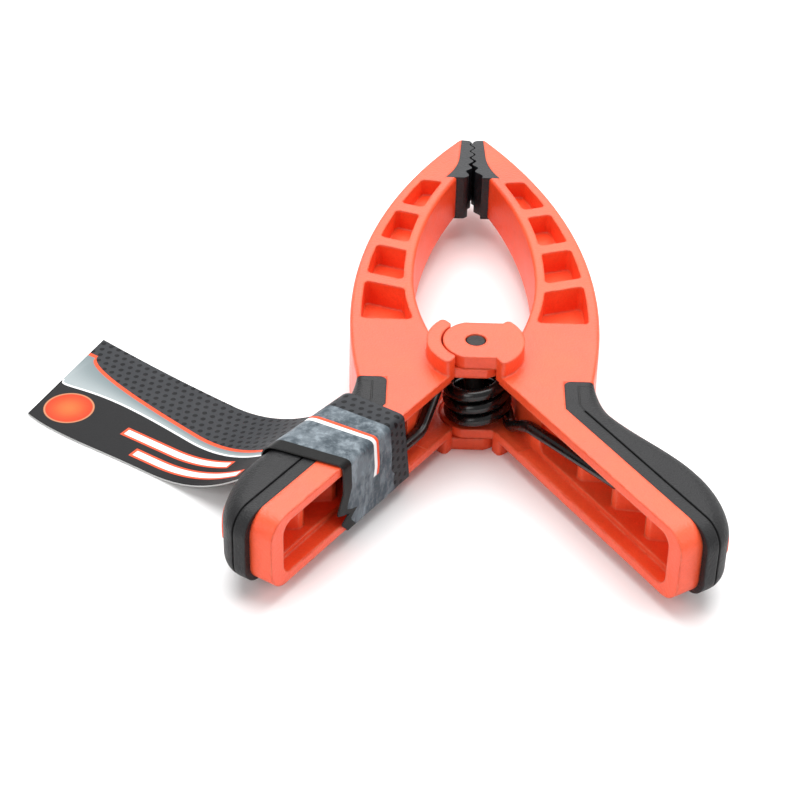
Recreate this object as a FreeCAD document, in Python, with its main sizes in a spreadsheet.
import FreeCAD
import Part
import math
import os
import re

os.makedirs("parts", exist_ok=True)

# Long-nosed spring clamp, millimetres.
# The origin lies on the pivot axis, in the flat underside of the hub. +Z is the pivot axis and
# +Y points from the pivot to the jaw tips. The right arm lies at x > 0. The left arm is the same
# moulding turned over about the Y axis, so each face of the hub shows one disc and one collar.

V = FreeCAD.Vector
doc = FreeCAD.newDocument("SpringClamp")
sheet = doc.addObject("Spreadsheet::Sheet", "Sizes")

SIZES = [
    # Whole arm
    ("arm_height", 16.0), ("hub_height", 23.0), ("tip_at", 94.3), ("jaw_tip_height", 9.6),
    ("taper_from", 9.0), ("edge_round", 0.7),
    # Jaw outline: a bowed outer side and a bowed throat
    ("jaw_reach", 25.9), ("jaw_bow", 144.0), ("jaw_widest_at", 17.0), ("tip_width", 0.6),
    ("throat_reach", 12.95), ("throat_bow", 112.0), ("throat_widest_at", 31.0),
    ("throat_rear_bow", 75.0),
    # Jaw pockets, open above and below a web in the middle of the jaw
    ("outer_rail", 2.3), ("inner_rail", 2.1), ("pocket_rib", 3.2), ("pocket_slope", 20.0),
    ("pocket_count", 4), ("pocket_start_at", 12.3), ("pocket_pitch", 15.9),
    ("pocket_first_length", 14.0),
    ("pocket_end_at", 73.6), ("pocket_corner", 1.0), ("jaw_web", 3.0),
    # Hub: disc plates over each other, with a collar round the other arm's disc
    ("disc_radius", 6.6), ("disc_gap", 0.45), ("boss_radius", 9.9), ("disc_flat", 6.2),
    ("disc_plate", 2.8), ("plate_gap", 0.15), ("tongue_plate", 2.15), ("collar_front", 57.0),
    ("collar_rear", 48.0), ("hub_corner", 0.9), ("spring_room_radius", 8.75),
    # Pivot pin
    ("pin_diameter", 4.15), ("pin_fit", 0.06), ("pin_recess", 0.12), ("pin_chamfer", 0.3),
    # Handle trough, measured along the handle and across it from the pivot axis
    ("handle_angle", 33.0), ("handle_length", 68.5), ("rim_depth", 5.0), ("handle_corner", 4.5),
    ("trough_wall", 2.0), ("trough_end_wall", 3.7), ("trough_step", 3.2), ("trough_corner", 2.6),
    ("core_inset", 1.6), ("core_wall", 1.6), ("web_depth", 9.6), ("trough_start", 2.6),
    ("deep_start", 19.5), ("deep_corner", 1.5), ("channel_end", 16.5),
    ("gusset_count", 3), ("gusset_first", 30.2), ("gusset_pitch", 10.7), ("gusset_depth", 5.0),
    ("gusset_slant", 4.2), ("gusset_thickness", 1.6), ("gusset_relief", 0.5),
    # Grip
    ("grip_start_at", 8.7), ("grip_start_x", 17.6), ("grip_skin", 3.0), ("grip_end_skin", 1.5),
    ("grip_neck", 13.5), ("grip_neck_at", 29.5), ("grip_bulge", 16.5), ("grip_bulge_at", 48.5),
    ("grip_tail", 13.8), ("grip_tail_at", 64.5), ("grip_end_depth", 7.0), ("grip_crown", 4.5),
    ("grip_shoulder_crown", 1.2), ("lip_width", 2.6),
    ("groove_width", 0.45), ("groove_depth", 0.5),
    ("window_at", 62.5), ("window_length", 9.0), ("window_height", 6.4), ("window_gap", 0.15),
    ("window_proud", 0.35),
    # Toothed jaw pad
    ("pad_rear_at", 75.4), ("pad_rear_inner", 2.05), ("pad_rear_outer", 6.25), ("pad_tip_half", 2.55),
    ("pad_waist", 3.0), ("pad_waist_at", 86.3), ("pad_flare", 3.85), ("pad_flare_at", 80.8),
    ("pad_contact_gap", 0.12), ("tooth_count", 5), ("tooth_pitch", 3.35), ("tooth_height", 0.5),
    ("pad_nose", 1.3),
    # Torsion spring
    ("wire_diameter", 2.5), ("coil_radius", 5.8), ("coil_pitch", 3.05), ("coil_turns", 3.39),
    ("coil_tilt", 5.5), ("coil_shift_x", 0.6), ("coil_shift_y", 1.2), ("coil_start_angle", 13.0),
    ("coil_start_height", 5.9), ("elbow_bend", 1.5), ("leg_reach", 44.0),
    ("right_knee_at", 11.2), ("right_knee_depth", 2.5), ("right_knee_height", 7.75),
    ("right_elbow_at", 17.1), ("right_elbow_depth", 1.75), ("right_elbow_height", 11.7),
    ("right_end_depth", 3.7), ("right_end_height", 14.5),
    ("left_knee_at", 9.0), ("left_knee_depth", 3.3), ("left_knee_height", 14.7),
    ("left_elbow_at", 16.5), ("left_elbow_depth", 1.85), ("left_elbow_height", 9.3),
    ("left_end_depth", 2.9), ("left_end_height", 8.3),
    # Paper hang tag round the left handle
    ("tag_thickness", 0.3), ("tag_gap", 0.15), ("tag_start", 26.5), ("tag_width", 21.5),
    ("tag_tail_reach", 83.0), ("tag_tail_start", 18.5), ("tag_tail_width", 30.5), ("tag_corner", 1.6),
    ("tag_lift", 0.05), ("tag_bend", 13.5),
]
for row, (alias, size) in enumerate(SIZES, start=1):
    sheet.set("A%d" % row, alias.replace("_", " "))
    sheet.set("B%d" % row, str(size))
    sheet.setAlias("B%d" % row, alias)
doc.recompute()


def size(alias):
    return float(getattr(sheet, alias))


def cell(expression):
    """The expression text with each size named by its own cell of the sheet."""
    return re.sub(r"[a-z][a-z_]+", lambda word: "Sizes." + word.group() if word.group() in ALIASES
                  else word.group(), expression)


ALIASES = {alias for alias, value in SIZES}

boss_rise = (size("hub_height") - size("arm_height")) / 2
arm_top = boss_rise + size("arm_height")
mid_height = size("hub_height") / 2
collar_inner = size("disc_radius") + size("disc_gap")
tongue_low = size("disc_plate") + size("plate_gap")
room_low = tongue_low + size("tongue_plate")
room_high = size("hub_height") - room_low

handle_turn = math.radians(size("handle_angle"))
ALONG = V(math.sin(handle_turn), -math.cos(handle_turn), 0)
ACROSS = V(math.cos(handle_turn), math.sin(handle_turn), 0)
web_outer = size("web_depth") + size("core_wall")


def on_handle(along, across):
    """Plan point at a distance along the handle and across it, both from the pivot axis."""
    return ALONG * along + ACROSS * across


def polar(radius, degrees):
    return V(radius * math.cos(math.radians(degrees)), radius * math.sin(math.radians(degrees)), 0)


def bow_point(reach, bow, widest_at, y):
    """Point at height y on an arc that reaches furthest out, to x = reach, at y = widest_at."""
    return V(reach - bow + math.sqrt(bow * bow - (y - widest_at) ** 2), y, 0)


def outer_point(y):
    return bow_point(size("jaw_reach"), size("jaw_bow"), size("jaw_widest_at"), y)


def throat_point(y):
    bow = size("throat_bow") if y > size("throat_widest_at") else size("throat_rear_bow")
    return bow_point(size("throat_reach"), bow, size("throat_widest_at"), y)


def line(start, end):
    return Part.LineSegment(start, end).toShape()


def arc(start, middle, end):
    return Part.Arc(start, middle, end).toShape()


def outline(points):
    """Edges of a closed polygon through the points."""
    return [line(a, b) for a, b in zip(points, points[1:] + points[:1])]


def face_of(edges):
    return Part.Face(Part.Wire(Part.__sortEdges__(edges)))


def rounded(face, radius):
    """The face with its outward corners rounded."""
    return face.makeOffset2D(-radius).makeOffset2D(radius)


def body(label):
    part_body = doc.addObject("PartDesign::Body", label)
    part_body.Label = label
    return part_body


def plane(part_body, role):
    return [item for item in part_body.Origin.OriginFeatures if item.Role == role][0]


def sketch(part_body, name, edges, level=None, role="XY_Plane", turn=None):
    """Sketch of the edges on a plane of the body's origin, lifted to a level of the sheet."""
    drawing = part_body.newObject("Sketcher::SketchObject", name)
    drawing.AttachmentSupport = [(plane(part_body, role), "")]
    drawing.MapMode = "FlatFace"
    if turn is not None:
        drawing.AttachmentOffset = FreeCAD.Placement(V(0, 0, 0), FreeCAD.Rotation(V(0, 1, 0), turn))
    if level is not None and turn is None:
        drawing.setExpression(".AttachmentOffset.Base.z", cell(level))
    if level is not None and turn is not None:
        for axis, share in (("x", "sin"), ("z", "cos")):
            drawing.setExpression(".AttachmentOffset.Base." + axis,
                                  cell("( " + level + " ) * " + share + "( handle_angle - 90 )"))
    for edge in edges:
        ends = [edge.valueAt(edge.FirstParameter), edge.valueAt(edge.LastParameter)]
        kind = edge.Curve.TypeId
        if kind == "Part::GeomCircle" and edge.isClosed():
            drawing.addGeometry(Part.Circle(edge.Curve.Center, V(0, 0, 1), edge.Curve.Radius))
        elif kind == "Part::GeomCircle":
            middle = edge.valueAt((edge.FirstParameter + edge.LastParameter) / 2)
            turning = (middle - ends[0]).cross(ends[1] - middle).z
            first, last = (ends[0], ends[1]) if turning > 0 else (ends[1], ends[0])
            drawing.addGeometry(Part.Arc(first, middle, last))
        elif kind == "Part::GeomLine":
            drawing.addGeometry(Part.LineSegment(ends[0], ends[1]))
        else:
            drawing.addGeometry(edge.Curve.toBSpline(edge.FirstParameter, edge.LastParameter))
    return drawing


def pad(part_body, drawing, name, length, reverse=False):
    feature = part_body.newObject("PartDesign::Pad", name)
    feature.Profile = drawing
    feature.setExpression("Length", cell(length))
    feature.Reversed = reverse
    feature.Refine = True
    doc.recompute()
    return feature


def pocket(part_body, drawing, name, length, reverse=False, both_ways=False):
    feature = part_body.newObject("PartDesign::Pocket", name)
    feature.Profile = drawing
    before = part_body.Shape.Volume
    feature.setExpression("Length", cell(length))
    feature.Reversed = reverse
    feature.Midplane = both_ways
    feature.Refine = True
    doc.recompute()
    if part_body.Shape.Volume > before - 0.01:
        raise RuntimeError(name + " cuts nothing")
    return feature


def soften(part_body, name, radius, wanted):
    """Fillet on the body's edges that the rule wants."""
    base = part_body.Tip
    names = ["Edge%d" % (i + 1) for i, edge in enumerate(base.Shape.Edges) if wanted(edge)]
    feature = part_body.newObject("PartDesign::Fillet", name)
    feature.Base = (base, names)
    feature.setExpression("Radius", cell(radius))
    doc.recompute()
    return feature


# Handle plane: its sketches have x along the handle, y up and the body on the far side
HANDLE_TURN = size("handle_angle") - 90


def slot(along_start, along_end, low, high, corner):
    """Upright rectangle on the handle plane, its two corners at the far end rounded."""
    box = face_of(outline([V(along_start - 4 * corner, low, 0), V(along_end, low, 0),
                           V(along_end, high, 0), V(along_start - 4 * corner, high, 0)]))
    keep = face_of(outline([V(along_start, low - 1, 0), V(along_end + 1, low - 1, 0),
                            V(along_end + 1, high + 1, 0), V(along_start, high + 1, 0)]))
    return rounded(box, corner).common(keep)


def blade_edges():
    """Plan of the arm at full height: jaw, hub side and the rim of the handle."""
    rim = size("rim_depth")
    tip = size("tip_at")
    rear = size("pad_rear_at")
    handle_cut = size("handle_length") * 0.6
    grip_x = size("grip_start_x")
    grip_y = -size("grip_start_at")
    turn_along = (grip_x - ACROSS.x * rim) / ALONG.x
    ring = (collar_inner + size("boss_radius")) / 2
    notch = throat_point(ring * math.sin(math.radians(38)))
    tip_outer = outer_point(tip - size("tip_width"))
    tip_corner = V(tip_outer.x * 0.62 + size("pad_tip_half") * 0.38, tip - 0.35 * size("tip_width"), 0)
    shoulder = V(outer_point(grip_y).x, grip_y, 0)
    widest = throat_point(size("throat_widest_at"))
    return [
        line(on_handle(collar_inner, 0), on_handle(handle_cut, 0)),
        line(on_handle(handle_cut, 0), on_handle(handle_cut, rim)),
        line(on_handle(handle_cut, rim), on_handle(turn_along, rim)),
        line(on_handle(turn_along, rim), V(grip_x, grip_y, 0)),
        line(V(grip_x, grip_y, 0), shoulder),
        arc(shoulder, outer_point((grip_y + tip) / 2), tip_outer),
        arc(tip_outer, tip_corner, V(size("pad_tip_half"), tip, 0)),
        line(V(size("pad_tip_half"), tip, 0), V(size("pad_waist"), size("pad_waist_at"), 0)),
        arc(V(size("pad_waist"), size("pad_waist_at"), 0), V(size("pad_flare"), size("pad_flare_at"), 0),
            V(size("pad_rear_outer"), rear, 0)),
        line(V(size("pad_rear_outer"), rear, 0), throat_point(rear)),
        arc(throat_point(rear), throat_point((rear + size("throat_widest_at")) / 2), widest),
        arc(widest, throat_point((size("throat_widest_at") + notch.y) / 2), notch),
        line(notch, polar(ring, 30)),
        arc(polar(ring, 30), polar(ring, 15 - size("collar_front") / 2), polar(ring, -size("collar_front"))),
        line(polar(ring, -size("collar_front")), on_handle(collar_inner, 0)),
    ]


def hub_sector():
    """Plan of the collar: a ring sector round the other arm's disc."""
    front = -size("collar_front")
    rear = size("collar_rear")
    middle = (front + rear) / 2
    inner = collar_inner
    outer = size("boss_radius")
    sector = face_of([
        arc(polar(inner, front), polar(inner, middle), polar(inner, rear)),
        line(polar(inner, rear), polar(outer, rear)),
        arc(polar(outer, rear), polar(outer, middle), polar(outer, front)),
        line(polar(outer, front), polar(inner, front))])
    return rounded(sector, size("hub_corner"))


def disc_plate():
    """Plan of a hub plate: a disc with two flats, and a neck to its own arm."""
    flat = size("disc_flat")
    radius = size("disc_radius")
    corner = math.sqrt(radius * radius - flat * flat)
    neck = size("boss_radius") * 0.75
    return [
        line(V(-corner, -flat, 0), V(neck, -flat, 0)),
        line(V(neck, -flat, 0), V(neck, flat, 0)),
        line(V(neck, flat, 0), V(-corner, flat, 0)),
        arc(V(-corner, flat, 0), V(-radius, 0, 0), V(-corner, -flat, 0))]


def jaw_pocket(index):
    """Plan of one jaw pocket between the two rails and two slanted ribs."""
    slope = math.tan(math.radians(size("pocket_slope")))
    half_rib = size("pocket_rib") / 2 / math.cos(math.radians(size("pocket_slope")))
    first_end = size("pocket_start_at") + size("pocket_first_length")
    rib_low = first_end + half_rib + (index - 1) * size("pocket_pitch")
    rib_high = rib_low + size("pocket_pitch")
    last = index == int(size("pocket_count")) - 1

    def across_jaw(y, rise):
        left = throat_point(y).x
        right = outer_point(y).x
        middle = (left + right) / 2
        return [V(x, y + rise * (x - middle), 0) for x in (left - 1, right + 1)]

    low = across_jaw(size("pocket_start_at"), 0) if index == 0 else across_jaw(rib_low + half_rib, slope)
    high = across_jaw(size("pocket_end_at"), slope / 3) if last else across_jaw(rib_high - half_rib, slope)
    slab = face_of(outline([low[0], low[1], high[1], high[0]]))
    outer_rail = size("jaw_bow") - size("outer_rail")
    centre = V(size("jaw_reach") - size("jaw_bow"), size("jaw_widest_at"), 0)
    within = Part.Face(Part.Wire(Part.makeCircle(outer_rail, centre)))
    forward = (low[0].y + high[0].y) / 2 > size("throat_widest_at")
    bow = size("throat_bow") if forward else size("throat_rear_bow")
    throat_centre = V(size("throat_reach") - bow, size("throat_widest_at"), 0)
    beyond = Part.Face(Part.Wire(Part.makeCircle(bow + size("inner_rail"), throat_centre)))
    area = slab.common(within).cut(beyond)
    return rounded(area.Faces[0], size("pocket_corner"))


def core_edges(gap=0.0):
    """Plan of the narrower core of the handle, which the grip covers."""
    x = size("grip_start_x") + size("grip_skin") + 0.4
    outer = web_outer + gap
    end = size("handle_length") - size("grip_end_skin") - size("core_inset") + gap
    corner_along = (x + gap - ACROSS.x * outer) / ALONG.x
    inside = size("rim_depth") - 0.5
    root = V(size("grip_start_x") - 1.0, -size("grip_start_at") + 1.0, 0)
    return outline([
        root, V(x + gap, root.y, 0), on_handle(corner_along, outer), on_handle(end, outer),
        on_handle(end, inside), on_handle((root.x - ACROSS.x * inside) / ALONG.x, inside)])


def grip_side():
    """Outer side of the grip in plan: from the shoulder by a waist and a palm swell to the end."""
    shoulder = V(outer_point(-size("grip_start_at")).x + 0.05, -size("grip_start_at"), 0)
    points = [shoulder,
              on_handle(size("grip_neck_at"), size("grip_neck")),
              on_handle(size("grip_bulge_at"), size("grip_bulge")),
              on_handle(size("grip_tail_at"), size("grip_tail")),
              on_handle(size("handle_length") + size("grip_end_skin"), size("grip_end_depth"))]
    side = Part.BSplineCurve()
    side.interpolate(Points=points, InitialTangent=V(0.16, -1, 0) * 9, FinalTangent=ACROSS * -14)
    return side.toShape()


def grip_outline():
    """Plan of the grip between the rim of the handle and its outer side."""
    rim = size("rim_depth")
    side = grip_side()
    shoulder = side.valueAt(side.FirstParameter)
    end = size("handle_length") + size("grip_end_skin")
    corner = V(size("grip_start_x"), -size("grip_start_at"), 0)
    turn_along = (corner.x - ACROSS.x * rim) / ALONG.x
    neck = side.Curve.parameter(on_handle(size("grip_neck_at"), size("grip_neck")))
    return [
        side.Curve.toShape(side.FirstParameter, neck),
        side.Curve.toShape(neck, side.LastParameter),
        line(on_handle(end, size("grip_end_depth")), on_handle(end, rim)),
        line(on_handle(end, rim), on_handle(turn_along, rim)),
        line(on_handle(turn_along, rim), corner),
        line(corner, shoulder)]


def window_plan(gap=0.0):
    """Upright oval on the handle plane, near the end of the grip."""
    half = size("window_length") / 2 - size("window_height") / 2
    radius = size("window_height") / 2 + gap
    left = V(size("window_at") - half, mid_height, 0)
    right = V(size("window_at") + half, mid_height, 0)
    up = V(0, radius, 0)
    side = V(radius, 0, 0)
    return [line(left - up, right - up), arc(right - up, right + side, right + up),
            line(right + up, left + up), arc(left + up, left - side, left - up)]


def cut_tapers(part_body, label):
    """Thin the body towards the jaw tips, above and below."""
    reach = size("tip_at") * 1.3
    drop = (size("arm_height") - size("jaw_tip_height")) / 2
    fall = drop * (reach - size("taper_from")) / (size("tip_at") - size("taper_from"))
    start = size("taper_from")
    above = outline([V(start, arm_top, 0), V(reach, arm_top - fall, 0), V(reach, arm_top + 1, 0),
                     V(start, arm_top + 1, 0)])
    below = outline([V(start, boss_rise, 0), V(reach, boss_rise + fall, 0), V(reach, boss_rise - 1, 0),
                     V(start, boss_rise - 1, 0)])
    pocket(part_body, sketch(part_body, label + "_top_taper", above, role="YZ_Plane"), label + "_taper_above",
           "jaw_reach * 4", both_ways=True)
    pocket(part_body, sketch(part_body, label + "_low_taper", below, role="YZ_Plane"), label + "_taper_below",
           "jaw_reach * 4", both_ways=True)


def make_arm(label):
    arm = body(label)
    rise = "( hub_height - arm_height ) / 2"
    pad(arm, sketch(arm, label + "_blade_plan", blade_edges(), rise), label + "_blade", "arm_height")

    cut_tapers(arm, label)

    # Long edges of the jaw are softened on both faces
    def jaw_edge(edge):
        middle = edge.valueAt((edge.FirstParameter + edge.LastParameter) / 2)
        ends = [vertex.Z for vertex in edge.Vertexes]
        upright = abs(ends[0] - ends[-1]) > size("arm_height") / 3
        inside = middle.x < size("pad_rear_outer") and middle.y > size("pad_rear_at") - 0.5
        return not upright and not inside and edge.Length > 8 and middle.y > size("boss_radius")
    soften(arm, label + "_jaw_edges", "edge_round", jaw_edge)

    # Hub ring, the disc plate above and the tongue plate below
    pad(arm, sketch(arm, label + "_ring_plan", hub_sector().Edges), label + "_ring", "hub_height")
    pad(arm, sketch(arm, label + "_disc_plan", disc_plate(), "hub_height - disc_plate"), label + "_disc",
        "disc_plate")
    pad(arm, sketch(arm, label + "_tongue_plan", disc_plate(), "disc_plate + plate_gap"), label + "_tongue",
        "tongue_plate")

    # Handle rim and core, drawn on the upright plane through the pivot axis
    rim = slot(size("gusset_first") * 0.5, size("handle_length"), boss_rise, arm_top, size("handle_corner"))
    pad(arm, sketch(arm, label + "_rim_face", rim.Edges, role="XZ_Plane", turn=HANDLE_TURN), label + "_rim",
        "rim_depth", reverse=True)
    pad(arm, sketch(arm, label + "_core_plan", core_edges(), rise + " + core_inset"), label + "_core",
        "arm_height - 2 * core_inset")

    # Room for the coil, a channel for the leg beside it and the trough in two steps
    floor = "disc_plate + plate_gap + tongue_plate"
    room = [Part.makeCircle(size("spring_room_radius"))]
    pocket(arm, sketch(arm, label + "_room_plan", room, floor), label + "_room",
           "hub_height - 2 * ( " + floor + " )", reverse=True)
    step = size("trough_step")
    channel = [on_handle(size("trough_start"), 0.2), on_handle(size("channel_end"), 0.2),
               on_handle(size("channel_end"), step), on_handle(size("channel_end") - 2.4, step + 0.7),
               on_handle(size("trough_start") + 2, step + 4)]
    pocket(arm, sketch(arm, label + "_channel_plan", outline(channel), floor), label + "_channel",
           "hub_height - 2 * ( " + floor + " )", reverse=True)
    wide = slot(size("trough_start"), size("handle_length") - size("trough_end_wall"),
                boss_rise + size("trough_wall"), arm_top - size("trough_wall"), size("trough_corner"))
    pocket(arm, sketch(arm, label + "_trough_face", wide.Edges, role="XZ_Plane", turn=HANDLE_TURN),
           label + "_trough", "trough_step", reverse=False)
    deep_wall = size("core_inset") + size("core_wall")
    deep_end = size("handle_length") - size("trough_end_wall") - size("core_wall")
    deep = rounded(face_of(outline([
        V(size("deep_start"), boss_rise + deep_wall, 0), V(deep_end, boss_rise + deep_wall, 0),
        V(deep_end, arm_top - deep_wall, 0), V(size("deep_start"), arm_top - deep_wall, 0)])),
        size("deep_corner"))
    pocket(arm, sketch(arm, label + "_deep_face", deep.Edges, role="XZ_Plane", turn=HANDLE_TURN),
           label + "_deep_trough", "web_depth", reverse=False)

    # Slanted gussets between the floor and the roof of the trough
    for index in range(int(size("gusset_count"))):
        start = size("gusset_first") + index * size("gusset_pitch")
        near = size("web_depth") - size("gusset_depth") + (size("gusset_relief") if index else 0)
        across = ALONG * size("gusset_thickness")
        low = on_handle(start, near)
        high = on_handle(start + size("gusset_slant"), size("web_depth") + 0.5)
        plan = outline([low, low + across, high + across, high])
        pad(arm, sketch(arm, "%s_gusset_plan_%d" % (label, index + 1), plan,
                        rise + " + core_inset + core_wall - 0.5"),
            "%s_gusset_%d" % (label, index + 1), "arm_height - 2 * ( core_inset + core_wall ) + 1")

    # Oval of the core that shows through the grip, trimmed a little proud of the grip
    pad(arm, sketch(arm, label + "_window_face", window_plan(), "-1 * ( web_depth + core_wall / 2 )",
                    role="XZ_Plane", turn=HANDLE_TURN), label + "_window", "grip_bulge - web_depth",
        reverse=True)
    side = grip_side()
    side.translate(ACROSS * size("window_proud"))
    far = ACROSS * size("grip_bulge")
    first = side.valueAt(side.FirstParameter)
    last = side.valueAt(side.LastParameter)
    beyond = [side, line(last, last + far), line(last + far, first + far), line(first + far, first)]
    pocket(arm, sketch(arm, label + "_window_trim", beyond, "hub_height"), label + "_window_end",
           "hub_height")

    # Jaw pockets from both faces down to the web
    for index in range(int(size("pocket_count"))):
        area = jaw_pocket(index).Edges
        above = "%s_pocket_above_%d" % (label, index + 1)
        below = "%s_pocket_below_%d" % (label, index + 1)
        pocket(arm, sketch(arm, above + "_plan", area, "( hub_height + jaw_web ) / 2"), above, "arm_height",
               reverse=True)
        pocket(arm, sketch(arm, below + "_plan", area, "( hub_height - jaw_web ) / 2"), below, "arm_height")

    # Bore for the pin
    bore = [Part.makeCircle(size("pin_diameter") / 2 + size("pin_fit"))]
    pocket(arm, sketch(arm, label + "_bore_plan", bore), label + "_bore", "hub_height", reverse=True)
    return arm


def make_grip(label):
    block = body(label + "_block_body")
    rise = "( hub_height - arm_height ) / 2"
    pad(block, sketch(block, label + "_plan", grip_outline(), rise), label + "_block", "arm_height")
    side = grip_side()
    end = size("handle_length") + size("grip_end_skin")

    # The outer side and the end are crowned, tightly at the shoulder and fully from the waist on
    crown = size("grip_crown")
    rows = []
    for index, edge in enumerate(block.Shape.Edges):
        middle = edge.valueAt((edge.FirstParameter + edge.LastParameter) / 2)
        flat = abs(edge.Vertexes[0].Z - edge.Vertexes[-1].Z) < 0.01
        at_end = abs(middle.dot(ALONG) - end) < 0.05
        along_side = side.distToShape(Part.Vertex(V(middle.x, middle.y, 0)))[0] < 0.05
        if flat and along_side and middle.dot(ALONG) < size("grip_neck_at"):
            rows.append((index + 1, size("grip_shoulder_crown"), crown))
        elif flat and (at_end or along_side):
            rows.append((index + 1, crown, crown))
    crowned = doc.addObject("Part::Fillet", label + "_crown")
    crowned.Base = block
    crowned.Edges = rows
    doc.recompute()
    grip = body(label)
    grip.BaseFeature = crowned
    doc.recompute()

    # Cavity that the handle core fills
    pocket(grip, sketch(grip, label + "_core_plan", core_edges(), rise + " + core_inset"), label + "_cavity",
           "arm_height - 2 * core_inset", reverse=True)

    # Fine groove that sets off the lip, round the grip and up beside the shoulder
    depth = size("groove_depth")
    inner = slot(size("grip_start_x"), end - depth, boss_rise + depth, arm_top - depth,
                 size("grip_crown") - depth)
    outer = face_of(outline([V(size("grip_start_x") + 9.5, -1, 0), V(end + 2, -1, 0),
                             V(end + 2, size("hub_height") + 1, 0),
                             V(size("grip_start_x") + 9.5, size("hub_height") + 1, 0)]))
    around = outer.cut(inner).Faces[0].Edges
    pocket(grip, sketch(grip, label + "_groove_face", around, "-1 * ( rim_depth + lip_width )",
                        role="XZ_Plane", turn=HANDLE_TURN), label + "_groove", "groove_width")

    # Oval opening for the window of the core
    pocket(grip, sketch(grip, label + "_window_face", window_plan(size("window_gap")),
                        "-1 * ( web_depth + core_wall / 2 )", role="XZ_Plane", turn=HANDLE_TURN),
           label + "_window", "grip_bulge - web_depth")
    return grip


def pad_face_at(y):
    """Half gap between the closed pads at height y: narrow at the tips, wider at the back."""
    span = size("tip_at") - size("pad_rear_at")
    share = (size("tip_at") - y) / span
    return size("pad_contact_gap") + (size("pad_rear_inner") - size("pad_contact_gap")) * share ** 4


def make_pad(label, first_side):
    """Pad with a wavy face. The first side is 1 or -1, so the waves of the two pads interleave."""
    jaw_pad = body(label)
    tip = size("tip_at") - 0.1
    rear = size("pad_rear_at")
    front = tip - size("pad_nose")
    points = [V(pad_face_at(front), front, 0)]
    side = first_side
    for index in range(2 * int(size("tooth_count"))):
        y = front - (2 * index + 1) * size("tooth_pitch") / 4
        points.append(V(pad_face_at(y) + side * size("tooth_height"), y, 0))
        side = -side
    points.append(V(pad_face_at(rear), rear, 0))
    wave = Part.BSplineCurve()
    wave.interpolate(list(reversed(points)))
    nose_end = V(size("pad_nose") + points[0].x, tip, 0)
    blank = face_of([
        wave.toShape(),
        arc(points[0], points[0] + V(0.29, 0.71, 0) * size("pad_nose"), nose_end),
        line(nose_end, V(size("pad_tip_half"), size("tip_at"), 0)),
        line(V(size("pad_tip_half"), size("tip_at"), 0), V(size("pad_waist"), size("pad_waist_at"), 0)),
        arc(V(size("pad_waist"), size("pad_waist_at"), 0), V(size("pad_flare"), size("pad_flare_at"), 0),
            V(size("pad_rear_outer"), rear, 0)),
        line(V(size("pad_rear_outer"), rear, 0), points[-1])])
    rise = "( hub_height - arm_height ) / 2"
    pad(jaw_pad, sketch(jaw_pad, label + "_plan", blank.Edges, rise), label + "_block", "arm_height")
    cut_tapers(jaw_pad, label)
    return jaw_pad


def make_pin(label):
    pin = body(label)
    radius = size("pin_diameter") / 2
    low = size("pin_recess")
    high = size("hub_height") - size("pin_recess")
    chamfer = size("pin_chamfer")
    profile = outline([V(0, low, 0), V(radius - chamfer, low, 0), V(radius, low + chamfer, 0),
                       V(radius, high - chamfer, 0), V(radius - chamfer, high, 0), V(0, high, 0)])
    drawing = sketch(pin, label + "_profile", profile, role="XZ_Plane")
    turned = pin.newObject("PartDesign::Revolution", label + "_turned")
    turned.Profile = drawing
    turned.ReferenceAxis = (drawing, ["V_Axis"])
    turned.Angle = 360
    doc.recompute()
    return pin


def biarc(start, start_way, end, end_way):
    """Two arcs that leave the start and reach the end along the given unit directions."""
    way = start_way + end_way
    chord = end - start
    spread = 2 * (1 - start_way.dot(end_way))
    dot = chord.dot(way)
    reach = (-dot + math.sqrt(dot * dot + spread * chord.dot(chord))) / spread
    joint = (start + end + (start_way - end_way) * reach) / 2

    def half(point, direction, other):
        span = other - point
        unit = V(span).normalize()
        angle = direction.getAngle(unit)
        middle = point + V(direction + unit).normalize() * (span.Length / 2 / math.cos(angle / 2))
        return arc(point, middle, other)
    return [half(start, start_way, joint), half(end, -end_way, joint)]


def on_left(along, across, height):
    """Point on the left handle at a distance along it, across it and above the table."""
    point = on_handle(along, across)
    return V(-point.x, point.y, height)


COIL_TILT = FreeCAD.Rotation(V(0, 1, 0), -size("coil_tilt"))


def coil_point(degrees):
    """Point of the coil's centre line. The coil is tilted and rests low and forward in its room."""
    rise = size("coil_start_height") - mid_height + size("coil_pitch") * degrees / 360
    upright = polar(size("coil_radius"), size("coil_start_angle") + degrees) + V(0, 0, rise)
    return COIL_TILT.multVec(upright) + V(size("coil_shift_x"), -size("coil_shift_y"), mid_height)


def coil_way(degrees):
    upright = polar(size("coil_radius"), size("coil_start_angle") + degrees + 90)
    return COIL_TILT.multVec(upright + V(0, 0, size("coil_pitch") / 2 / math.pi)).normalize()


def least_gap(points, skip):
    """Least distance between points that lie at least skip places apart."""
    best = 1000.0
    for index, point in enumerate(points[:-skip]):
        best = min(best, min(point.distanceToPoint(other) for other in points[index + skip:]))
    return best


def leg_edges(start, way, knee, elbow, end):
    """Leg of the spring: off the coil to a knee, straight to a bent elbow and straight to its end."""
    first = V(elbow - knee).normalize()
    last = V(end - elbow).normalize()
    before = elbow - first * size("elbow_bend")
    after = elbow + last * size("elbow_bend")
    return (biarc(start, way, knee, first) + [line(knee, before)] + biarc(before, first, after, last)
            + [line(after, end)])


def leg_point(side, bend, place):
    """Point of a leg by the sizes of its side and bend. The place function sets it on that handle."""
    return place(size(side + "_" + bend + "_at"), size(side + "_" + bend + "_depth"),
                 size(side + "_" + bend + "_height"))


def on_right(along, across, height):
    return on_handle(along, across) + V(0, 0, height)


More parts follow.
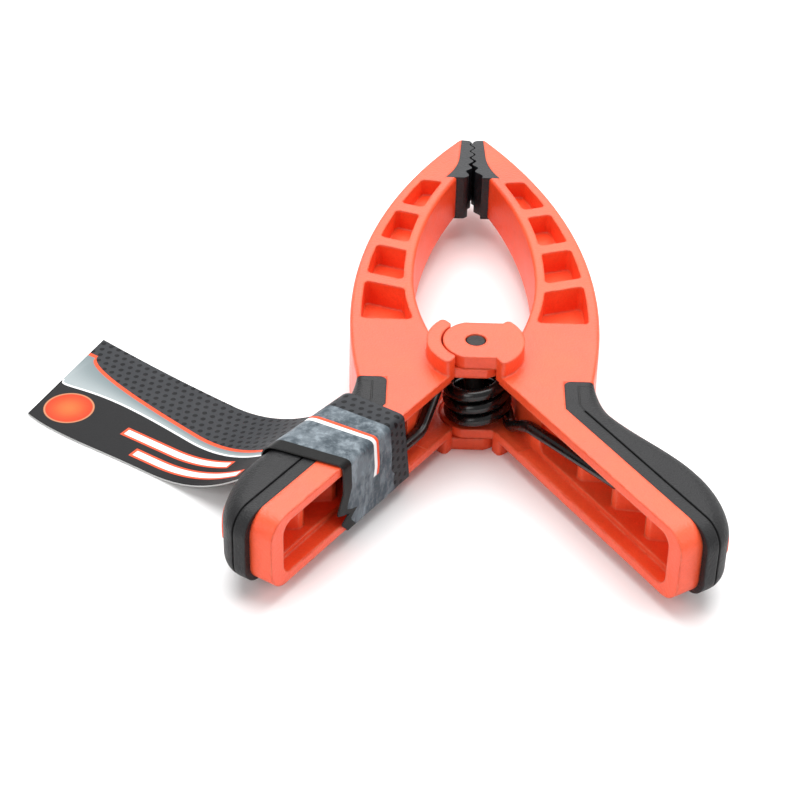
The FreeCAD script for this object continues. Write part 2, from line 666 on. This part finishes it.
def make_spring(label):
    """Torsion spring: coil round the pin with a leg into each handle."""
    wire = size("wire_diameter")
    steps = math.ceil(size("coil_turns") * 4)
    angles = [360 * size("coil_turns") * step / steps for step in range(steps + 1)]
    right_end = on_right(size("leg_reach"), size("right_end_depth"), size("right_end_height"))
    left_end = on_left(size("leg_reach"), size("left_end_depth"), size("left_end_height"))
    right_elbow = leg_point("right", "elbow", on_right)
    edges = leg_edges(coil_point(0), -coil_way(0), leg_point("right", "knee", on_right), right_elbow,
                      right_end)
    for low, high in zip(angles, angles[1:]):
        edges += biarc(coil_point(low), coil_way(low), coil_point(high), coil_way(high))
    edges += leg_edges(coil_point(angles[-1]), coil_way(angles[-1]), leg_point("left", "knee", on_left),
                       leg_point("left", "elbow", on_left), left_end)

    spine = Part.Wire(Part.__sortEdges__(edges))
    ring = Part.Wire(Part.makeCircle(wire / 2, right_end, right_end - right_elbow))
    sweep = Part.BRepOffsetAPI.MakePipeShell(spine)
    sweep.add(ring)
    sweep.build()
    sweep.makeSolid()
    spring = doc.addObject("Part::Feature", label)
    spring.Label = label
    spring.Shape = sweep.shape()
    points = spine.discretize(Distance=0.5)
    print("spring: least gap to itself", round(least_gap(points, 16) - wire, 3))
    return spring


def tag_ring(outward, grow):
    """Outline of the tag's loop across the left handle, grown by a distance."""
    low = boss_rise - size("tag_gap") - grow
    high = arm_top + size("tag_gap") + grow
    inner = -size("tag_gap") - grow
    outer = outward + grow
    small = 0.4 + grow
    large = size("grip_crown") + grow - 0.6
    corners = []
    places = ((outer, low, large, -90), (outer, high, large, 0), (inner, high, small, 90),
              (inner, low, small, 180))
    for x, y, radius, from_angle in places:
        centre = V(x - radius if x > 0 else x + radius, y + radius if y == low else y - radius, 0)
        corners.append([centre + polar(radius, from_angle + step) for step in (0, 45, 90)])
    edges = []
    for index, corner in enumerate(corners):
        edges.append(arc(*corner))
        edges.append(line(corner[2], corners[(index + 1) % 4][0]))
    return Part.Wire(Part.__sortEdges__(edges))


def make_tag(label):
    """Paper tag: a loop round the left handle and a tail that lies on the table."""
    thickness = size("tag_thickness")
    start = size("tag_start")
    end = start + size("tag_width")
    side = grip_side()

    depths = []
    for step in range(13):
        along = start + (end - start) * step / 12
        near = side.distToShape(Part.makeLine(on_handle(along, 6), on_handle(along, 30)))[1][0][0]
        depths.append(near.dot(ACROSS))
    outward = max(depths) + size("tag_gap")

    left_along = V(-ALONG.x, ALONG.y, 0)
    left_across = V(-ACROSS.x, ACROSS.y, 0)

    def placed(shape, along):
        matrix = FreeCAD.Matrix(left_across.x, 0, left_along.x, left_along.x * along,
                                left_across.y, 0, left_along.y, left_along.y * along,
                                0, 1, 0, 0)
        return shape.transformGeometry(matrix)

    band = Part.Face(tag_ring(outward, thickness)).cut(Part.Face(tag_ring(outward, 0)))
    loop = placed(band.Faces[0], start).extrude(left_along * size("tag_width"))

    # Tail: it bends off the loop in a quarter turn and lies flat, cut to the plan of the tail
    reach = size("tag_tail_reach")
    leave = outward + thickness
    low = size("tag_lift")
    bend = size("tag_bend")
    centre = V(leave + bend, low + bend + thickness, 0)
    quarter = V(-1, -1, 0).normalize()
    strip = face_of([
        arc(centre - V(bend, 0, 0), centre + quarter * bend, centre - V(0, bend, 0)),
        line(centre - V(0, bend, 0), V(reach, low + thickness, 0)),
        line(V(reach, low + thickness, 0), V(reach, low, 0)),
        line(V(reach, low, 0), centre - V(0, bend + thickness, 0)),
        arc(centre - V(0, bend + thickness, 0), centre + quarter * (bend + thickness),
            centre - V(bend + thickness, 0, 0)),
        line(centre - V(bend + thickness, 0, 0), centre - V(bend, 0, 0))])
    far = start + size("tag_width") + 20
    near_end = placed(strip, 0)
    ribbon = near_end.extrude(left_along * far)
    tail_start = size("tag_tail_start")
    tail_end = tail_start + size("tag_tail_width")
    plan = [on_left(start + 3.5, 10, -1), on_left(end, 10, -1), on_left(end, leave + 0.4, -1),
            on_left(end + 4.5, leave + 4, -1),
            on_left(tail_end + 1, 50, -1), on_left(tail_end, reach, -1), on_left(tail_start, reach, -1),
            on_left(tail_start + 3.3, 56, -1)]
    plan_face = rounded(face_of(outline(plan)), size("tag_corner"))
    tail = ribbon.common(plan_face.extrude(V(0, 0, size("hub_height"))))
    tag = doc.addObject("Part::Feature", label)
    tag.Label = label
    tag.Shape = loop.fuse(tail).removeSplitter()
    return tag


def turn_over(part_body):
    """Set the body over on its other face, as the mate of the right hand part."""
    part_body.Placement = FreeCAD.Placement(V(0, 0, 0), FreeCAD.Rotation(V(0, 1, 0), 180))
    part_body.setExpression(".Placement.Base.z", cell("hub_height"))


nodes = [make_arm("right_arm"), make_arm("left_arm"), make_grip("right_grip"), make_grip("left_grip"),
         make_pad("right_jaw_pad", -1), make_pad("left_jaw_pad", 1),
         make_pin("pivot_pin"), make_spring("torsion_spring"), make_tag("hang_tag")]
for node in nodes:
    if node.Label.startswith("left"):
        turn_over(node)
doc.recompute()

for item in doc.Objects:
    if "Invalid" in item.State or "Error" in item.State:
        raise RuntimeError(item.Name + " is in a bad state")
for node in nodes:
    shape = node.Shape
    if shape.isNull() or not shape.isValid() or len(shape.Solids) != 1:
        raise RuntimeError(node.Label + " is not one valid solid")
    shape.exportStep("parts/%s.step" % node.Label)
    print(node.Label, round(shape.Volume, 1), shape.BoundBox)
